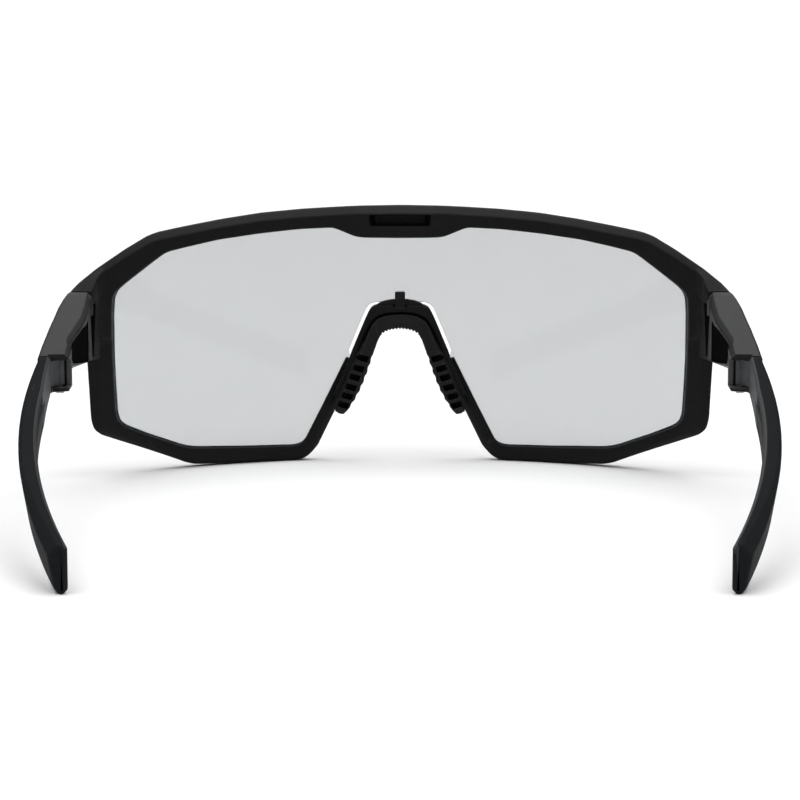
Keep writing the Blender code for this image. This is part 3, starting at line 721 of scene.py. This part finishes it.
def bandRing(row, corner, slant=0.0, lip=0.0):
    outerX, outerZ, innerX, innerZ, front, rear = row
    width = math.hypot(innerX - outerX, innerZ - outerZ)
    cut = min(corner, bandCorner["share"] * width) * bandCorner["reach"]
    corners = [(-lip, front), (width, front), (width, rear - slant), (0, rear)]
    radii = [saddle["lipSoft"] if lip else cut, cut, cut, cut]
    if lip:
        corners += [(0, front + saddle["lipFrom"]), (-lip, front + saddle["lipTo"])]
        radii += [saddle["lipSoft"]] * 2
    made = []
    for inwards, y in rounded(corners, radii, 4):
        x = outerX + (innerX - outerX) * inwards / width
        made.append(spot(x, y, outerZ + (innerZ - outerZ) * inwards / width))
    return made


def makeClip():
    rows = easedPath(wholePath(clipPath), clip["turn"], clip["step"])
    piece = skin("nose_clip", [bandRing(row, clip["corner"]) for row in rows], frameNylon)
    behind = lens["thick"] / 2 + clip["behindLens"]
    outline = [(-x, z) for x, z in flangeHalf[::-1]] + flangeHalf
    flange = rounded(outline, [clip["flangeSoft"]] * len(outline))
    join(piece, prism("flange", flange, behind, behind + clip["flangeThick"]), "UNION")
    half, low, top, soft = clip["tabHalf"], clip["tabLow"], clip["tabTop"], clip["tabSoft"]
    tab = rounded([(-half, low), (half, low), (half, top), (-half, top)], [0, 0, soft, soft])
    join(piece, prism("tab", tab, behind + clip["tabFrom"], behind + clip["tabTo"]), "UNION")
    for sign in (1, -1):
        middle, radius = sign * clip["dotX"], clip["dotRadius"]
        dot = [(middle + radius * math.cos(a), clip["dotZ"] + radius * math.sin(a))
               for a in circle(clip["dotCorners"])]
        join(piece, prism("dot", dot, behind + clip["dotFrom"], behind + clip["dotTo"]), "DIFFERENCE")
    place(settle(piece, clip["sharp"]), "front", "nose_bracket", "frame_nylon")


def saddleRing(row, along, reach):  # teeth near the middle, ribs on the legs
    outerX, outerZ, innerX, innerZ, front, rear = row
    ease = unit((saddle["teethReach"] - along) / saddle["teethFade"])
    tooth = saddle["toothDeep"] * ease * (0.5 - 0.5 * math.cos(2 * math.pi * along / saddle["teeth"]))
    legs = unit((along - saddle["legsFrom"]) / saddle["legsOver"])
    legs = legs * unit((reach - saddle["endClear"] - along) / saddle["endOver"])
    deep = saddle["ribDeep"]
    rib = deep * legs * math.cos(2 * math.pi * (along - saddle["ribFrom"]) / saddle["ribs"])
    width = math.hypot(innerX - outerX, innerZ - outerZ)
    pull = 1 - (tooth + deep * legs - rib) / width
    innerX, innerZ = outerX + (innerX - outerX) * pull, outerZ + (innerZ - outerZ) * pull
    rear = rear - saddle["ribBack"] * (legs - rib / deep)
    band = (outerX, outerZ, innerX, innerZ, front, rear)
    return bandRing(band, saddle["corner"], saddle["slant"], saddle["lip"])


def windowCutter(sign, x, z, y):
    middle, across, along = Vector((x, z)), Vector(window["across"]), Vector(window["along"])
    shape = [middle + across * (a * window["acrossHalf"]) + along * (b * window["alongHalf"])
             for a, b in ((-1, -1), (1, -1), (1, 1), (-1, 1))]
    mouth = rounded(shape, [window["soft"]] * 4)
    floor = [middle + (p - middle) * window["floorShare"] for p in mouth]
    depths = ((y + window["out"], mouth), (y - window["deep"], floor))
    rings = [[spot(sign * p.x, depth, p.y) for p in ring] for depth, ring in depths]
    # the window walls take the painted shade finish
    return skin("window", rings, hollowPaintedShade)


def makeSaddle():
    rows = easedPath(wholePath(saddlePath), saddle["turn"], saddle["step"])
    reach = [0.0]
    for a, b in zip(rows, rows[1:]):
        reach.append(reach[-1] + math.hypot(b[2] - a[2], b[3] - a[3]))
    middle = reach[len(rows) // 2]
    rings = [saddleRing(row, abs(run - middle), middle) for row, run in zip(rows, reach)]
    piece = skin("nose_saddle", rings, saddleRubber)
    for sign in (1, -1):
        for x, z, y in windows:
            join(piece, windowCutter(sign, x, z, y), "DIFFERENCE")
    settle(piece, saddle["sharp"], tiny=saddle["tinyEdge"])
    place(piece, "front", "nose_pad", "soft_rubber")


makeClip()
makeSaddle()
print("nose clip and saddle ready")


hinge = {"gap": 0.18, "knuckle": 0.98, "low": 23.7, "high": 29.1, "slotEdge": 70.4, "slotFront": 1.5,
         "slotOuter": 75.0, "slotBack": 72.0, "mouthFront": 0.3, "mouthOuter": 74.9, "mouthBack": 71.0,
         "open": 60.0, "pin": 0.6, "play": 0.04, "boreLow": 20.0, "boreOver": 0.8, "sharp": 30, "bevel": 0.09}
screw = {"headRadius": 0.9, "headHigh": 22.5, "over": 0.7, "ease": 0.12, "tipOver": 0.85,
         "count": 40, "slotWide": 0.26, "slotDeep": 0.22, "slotHalf": 2, "slotLow": 21.0}
headEdge = [(-0.15, 22.0), (0.0, 22.12), (0.0, 22.4), (-0.1, 22.5)]  # change of radius, and height
lug = {"x": 68.3, "y": 39.5, "profile": [(0.55, 36.5), (0.75, 36.8), (0.75, 39.7), (0.6, 40.0)]}
# depth, outer x, inner x, top z, low z, lift of the underside towards the inner side
blockRows = [
    (38.3, 73.5, 67.9, 41.6, 26.0, 0.7),
    (40.5, 74.0, 67.9, 40.7, 25.9, 0.8),
    (44.0, 74.6, 67.9, 39.1, 25.6, 1.2),
    (48.5, 75.0, 68.1, 37.1, 25.1, 1.9),
    (52.6, 75.4, 69.0, 35.3, 24.5, 2.6),
    (57.0, 75.7, 69.9, 33.4, 23.8, 3.4),
    (58.4, 75.8, 69.9, 32.8, 23.4, 1.8),
    (59.8, 75.9, 69.5, 32.2, 22.9, 0.3),
    (65.0, 75.9, 69.4, 30.5, 22.4, 0.3),
    (65.1, 75.9, 72.9, 30.47, 22.35, 0.2),
    (65.78, 75.9, 72.9, 30.25, 22.2, 0.2),
]
blockCuts = {"outer": 0.6, "inner": 1.0, "low": 0.6, "soft": 0.22}
# depth, floor x, low z and top z of the sunken panel in the block's inner wall
wallPanel = [
    (44.6, 68.3, 26.9, 35.9),
    (49.8, 68.8, 27.2, 34.7),
    (52.9, 69.5, 27.4, 33.6),
    (56.1, 70.2, 27.6, 32.4),
    (57.4, 70.4, 28.9, 31.8),
    (58.3, 70.4, 30.1, 31.3),
]


def blockRing(row, side):
    y, outer, inner, top, low, lift = row
    a, b, c = blockCuts["outer"], blockCuts["inner"], blockCuts["low"]
    corners = [
        (outer, top - a), (outer - a, top), (inner + b, top), (inner, top - b),
        (inner, low + lift), (outer - c, low), (outer, low + c),
    ]
    return [spot(x, y, z, side) for x, z in rounded(corners, [blockCuts["soft"]] * len(corners), 2)]


def boreCutter(top, side):
    radius = hinge["pin"] + hinge["play"]
    return post("bore", pinX, pinY, [(radius, hinge["boreLow"]), (radius, top)], side)


def makeHinge(word, side):
    body = skin("hinge_body_" + word, [blockRing(row, side) for row in blockRows], blockSatin)
    low, high = hinge["low"] - hinge["gap"], hinge["high"] + hinge["gap"]
    near = (hinge["slotEdge"], pinY - hinge["slotFront"], low)
    join(body, block("pocket", near, (hinge["slotOuter"], hinge["slotBack"], high), side), "DIFFERENCE")
    near = (hinge["open"], pinY - hinge["mouthFront"], low)
    far = (hinge["mouthOuter"], hinge["mouthBack"], high)
    # the faces this cut leaves take the painted light finish
    join(body, block("mouth", near, far, side, blockRearPaintedLight), "DIFFERENCE")
    join(body, boreCutter(high + hinge["boreOver"], side), "DIFFERENCE")
    join(body, wedgeCutter(side, wedge["inBlock"], 1), "DIFFERENCE")
    rings = []
    for y, floorX, bottom, top in wallPanel:
        corners = ((hinge["open"], bottom), (floorX, bottom), (floorX, top), (hinge["open"], top))
        rings.append([spot(x, y, z, side) for x, z in corners])
    # the cut faces of the sunken panel take the painted shade finish
    join(body, skin("panel", rings, recessPaintedShade), "DIFFERENCE")
    join(body, post("lug", lug["x"], lug["y"], lug["profile"], side), "UNION")
    place(settle(body, hinge["sharp"], hinge["bevel"]), "front", "hinge_block_" + word, "block_nylon")


def makeScrew(word, side):
    shaft, top = hinge["pin"], hinge["high"]
    profile = [(screw["headRadius"] + change, z) for change, z in headEdge]
    profile += [(shaft, screw["headHigh"]), (shaft, top + screw["over"]),
                (shaft - screw["ease"], top + screw["tipOver"])]
    pin = post("hinge_screw_" + word, pinX, pinY, profile, side, screwSteel, screw["count"])
    wide, half = screw["slotWide"] / 2, screw["slotHalf"]
    slotTop = headEdge[0][1] + screw["slotDeep"]
    near, far = (pinX - wide, pinY - half, screw["slotLow"]), (pinX + wide, pinY + half, slotTop)
    join(pin, block("slot", near, far, side), "DIFFERENCE")
    place(settle(pin, hinge["sharp"]), "front", "hinge_pin_" + word, "pin_steel")


for word, side in sides.items():
    makeHinge(word, side)
    makeScrew(word, side)
print("hinge blocks and screws ready")


arm = {"start": 65.9, "widest": 75.8, "bow": 16.3, "bend": 2.3, "thin": 2.7, "swell": 0.9, "swellRate": 5,
       "step": 1.4, "frontTop": 30.1, "frontLow": 21.8, "tipTop": 7.9, "tipLow": -0.8, "cut": 0.8,
       "innerCut": 0.65, "soft": 0.3, "slant": 0.9, "slantFrom": 132.0, "slantOver": 26.0, "lean": 1.2,
       "leanFrom": 84.0, "leanOver": 34.0, "tipEase": 0.8, "tipLowShare": 0.7, "second": 0.25, "sharp": 30}
tipRows = [(0.45, 0.12), (0.15, 0.35), (0.0, 0.7)]  # distance before the end, and how far the edges draw in
leadIn = {"outer": 0.25, "inner": 0.2, "top": 0.3, "low": 0.25}  # how far the first section's edges draw in
knuckle = {"turn": 30, "ease": 0.15, "sweep": 1.5, "boreTop": 32.0,
           "web": [(74.5, 65.5), (74.5, 68.5), (73.4, 68.5), (73.1, 65.6)]}
# outward part of a face's normal, below 0 towards the head, and its upward part; these limits pick the faces
# that take the painted light and painted highlight finishes
facing = {"inner": -0.8, "edgeMost": -0.85, "edgeLeast": -0.45, "edgeUp": 0.45, "pastGrip": 4}
grip = {"start": 84.0, "end": 158.0, "rise": 2.4, "deep": 1.3, "proud": 0.1, "ridge": 1.9, "ridgeDeep": 0.3,
        "ridgePower": 3, "step": 0.24, "fadeIn": 14, "fadeOut": 3, "faceSoft": 0.5, "backSoft": 0.1,
        "swellFrom": 0.28, "swellBy": 0.72, "swellOver": 0.22, "sharp": 34}
groove = {"steps": 60, "endPlay": 0.25, "sidePlay": 0.12, "floorPlay": 0.1, "mouth": 1.0, "lip": 0.3,
          "flare": 0.9, "lipDeep": 0.3}


def armOuter(y):
    return arm["widest"] - arm["bow"] * (max(y - pinY, 0.0) / (armEnd - pinY)) ** arm["bend"]


def armRow(y):  # depth, outer x, inner x, top z, low z
    along = (y - arm["start"]) / (armEnd - arm["start"])
    outer = armOuter(y)
    top = arm["frontTop"] + (arm["tipTop"] - arm["frontTop"]) * along
    low = arm["frontLow"] + (arm["tipLow"] - arm["frontLow"]) * along
    inner = outer - arm["thin"] - arm["swell"] * min(along * arm["swellRate"], 1.0)
    return y, outer, inner, top, max(low, -rimDrop)


def armRing(row, side):
    y, outer, inner, top, low = row
    foot = outer - arm["lean"] * unit((y - arm["leanFrom"]) / arm["leanOver"])
    cut, inCut = arm["cut"], arm["innerCut"]
    slant = cut + arm["slant"] * unit((y - arm["slantFrom"]) / arm["slantOver"])
    corners = [
        (outer, top - slant), (outer - slant, top), (inner + inCut, top), (inner, top - inCut),
        (inner, low + cut), (inner + cut, low), (foot - cut, low), (foot, low + cut),
    ]
    return [spot(x, y, z, side) for x, z in rounded(corners, [arm["soft"]] * len(corners), 2)]


def swellOf(i, steps):
    return min(1.0, grip["swellFrom"] + grip["swellBy"] * (i / steps) / grip["swellOver"])


def armRows():  # the first section is drawn in, and so are the last three
    length = armEnd - arm["tipEase"] - arm["start"]
    count = round(length / arm["step"])
    rows = [armRow(arm["start"] + length * i / count) for i in range(count + 1)]
    for back, shrink in tipRows:
        y, outer, inner, top, low = armRow(armEnd - back)
        rows.append((y, outer - shrink, inner + shrink, top - shrink, low + shrink * arm["tipLowShare"]))
    y, outer, inner, top, low = rows[0]
    lead = (y, outer - leadIn["outer"], inner + leadIn["inner"], top - leadIn["top"], low + leadIn["low"])
    rows[0] = armRow(y + arm["second"])
    return [lead] + rows


def knuckleRings(side):
    rings = []
    low, high, ease, turn = hinge["low"], hinge["high"], knuckle["ease"], knuckle["turn"]
    angles = [math.pi / 2 + knuckle["sweep"] * math.pi * i / turn for i in range(turn + 1)]
    for z, shrink in ((low, ease), (low + ease, 0), (high - ease, 0), (high, ease)):
        radius = hinge["knuckle"] - shrink
        barrel = [(pinX + radius * math.cos(a), pinY + radius * math.sin(a)) for a in angles]
        rings.append([spot(x, y, z, side) for x, y in barrel + knuckle["web"]])
    return rings


def grooveRings(side):  # the slot that holds the grip, with a flared mouth
    rings, steps = [], groove["steps"]
    start, length = grip["start"] - groove["endPlay"], grip["end"] - grip["start"] + 2 * groove["endPlay"]
    for i in range(steps + 1):
        y = start + length * i / steps
        _, _, inner, top, low = armRow(y)
        middle, rise = (top + low) / 2, grip["rise"] * swellOf(i, steps) + groove["sidePlay"]
        mouthX, lipX = inner - groove["mouth"], inner + groove["lipDeep"]
        floorX = inner + grip["deep"] + groove["floorPlay"]
        flare = rise + groove["lip"] + groove["flare"]
        half = [(mouthX, flare), (lipX, rise), (floorX, rise)]
        ring = [half[0]] + [(x, -z) for x, z in half] + half[:0:-1]
        rings.append([spot(x, y, middle + z, side) for x, z in ring])
    return rings


def makeArm(word, side):
    body = skin("temple_" + word, [armRing(row, side) for row in armRows()], armSlate)
    # the knuckle takes the painted light finish
    join(body, skin("knuckle", knuckleRings(side), armInnerPaintedLight), "UNION")
    join(body, boreCutter(knuckle["boreTop"], side), "DIFFERENCE")
    join(body, skin("recess", grooveRings(side)), "DIFFERENCE")
    settle(body, arm["sharp"])
    looks = body.data.materials
    looks.append(armInnerPaintedLight)
    looks.append(armEdgePaintedHighlight)
    gripStart = spot(0, grip["start"] + facing["pastGrip"], 0).y
    for face in body.data.polygons:
        across = face.normal.x * side
        # inward faces ahead of the grip take the painted light finish
        if across < facing["inner"] and face.center.y < gripStart:
            face.material_index = len(looks) - 2
        # faces of the inner top chamfer take the painted highlight finish
        elif facing["edgeMost"] < across < facing["edgeLeast"] and face.normal.z > facing["edgeUp"]:
            face.material_index = len(looks) - 1
    place(body, "arm_" + word, "temple_arm_" + word, "arm_nylon")


def makeGrip(word, side):
    steps = round((grip["end"] - grip["start"]) / grip["step"])
    rings = []
    for i in range(steps + 1):
        y = grip["start"] + (grip["end"] - grip["start"]) * i / steps
        _, _, inner, top, low = armRow(y)
        middle, rise = (top + low) / 2, grip["rise"] * swellOf(i, steps)
        fade = min(1.0, (y - grip["start"]) / grip["fadeIn"], (grip["end"] - y) / grip["fadeOut"])
        wave = 0.5 - 0.5 * math.cos(2 * math.pi * (y - grip["start"]) / grip["ridge"])
        face = inner - grip["proud"] + grip["ridgeDeep"] * fade * wave ** grip["ridgePower"]
        back = inner + grip["deep"]
        corners = [(face, rise), (face, -rise), (back, -rise), (back, rise)]
        ring = rounded(corners, [grip["faceSoft"]] * 2 + [grip["backSoft"]] * 2)
        rings.append([spot(p.x, y, middle + p.y, side) for p in ring])
    piece = skin("temple_strip_" + word, rings, gripRubber)
    place(settle(piece, grip["sharp"]), "arm_" + word, "temple_grip_" + word, "soft_rubber")


for word, side in sides.items():
    makeArm(word, side)
    makeGrip(word, side)
print("arms and grips ready")
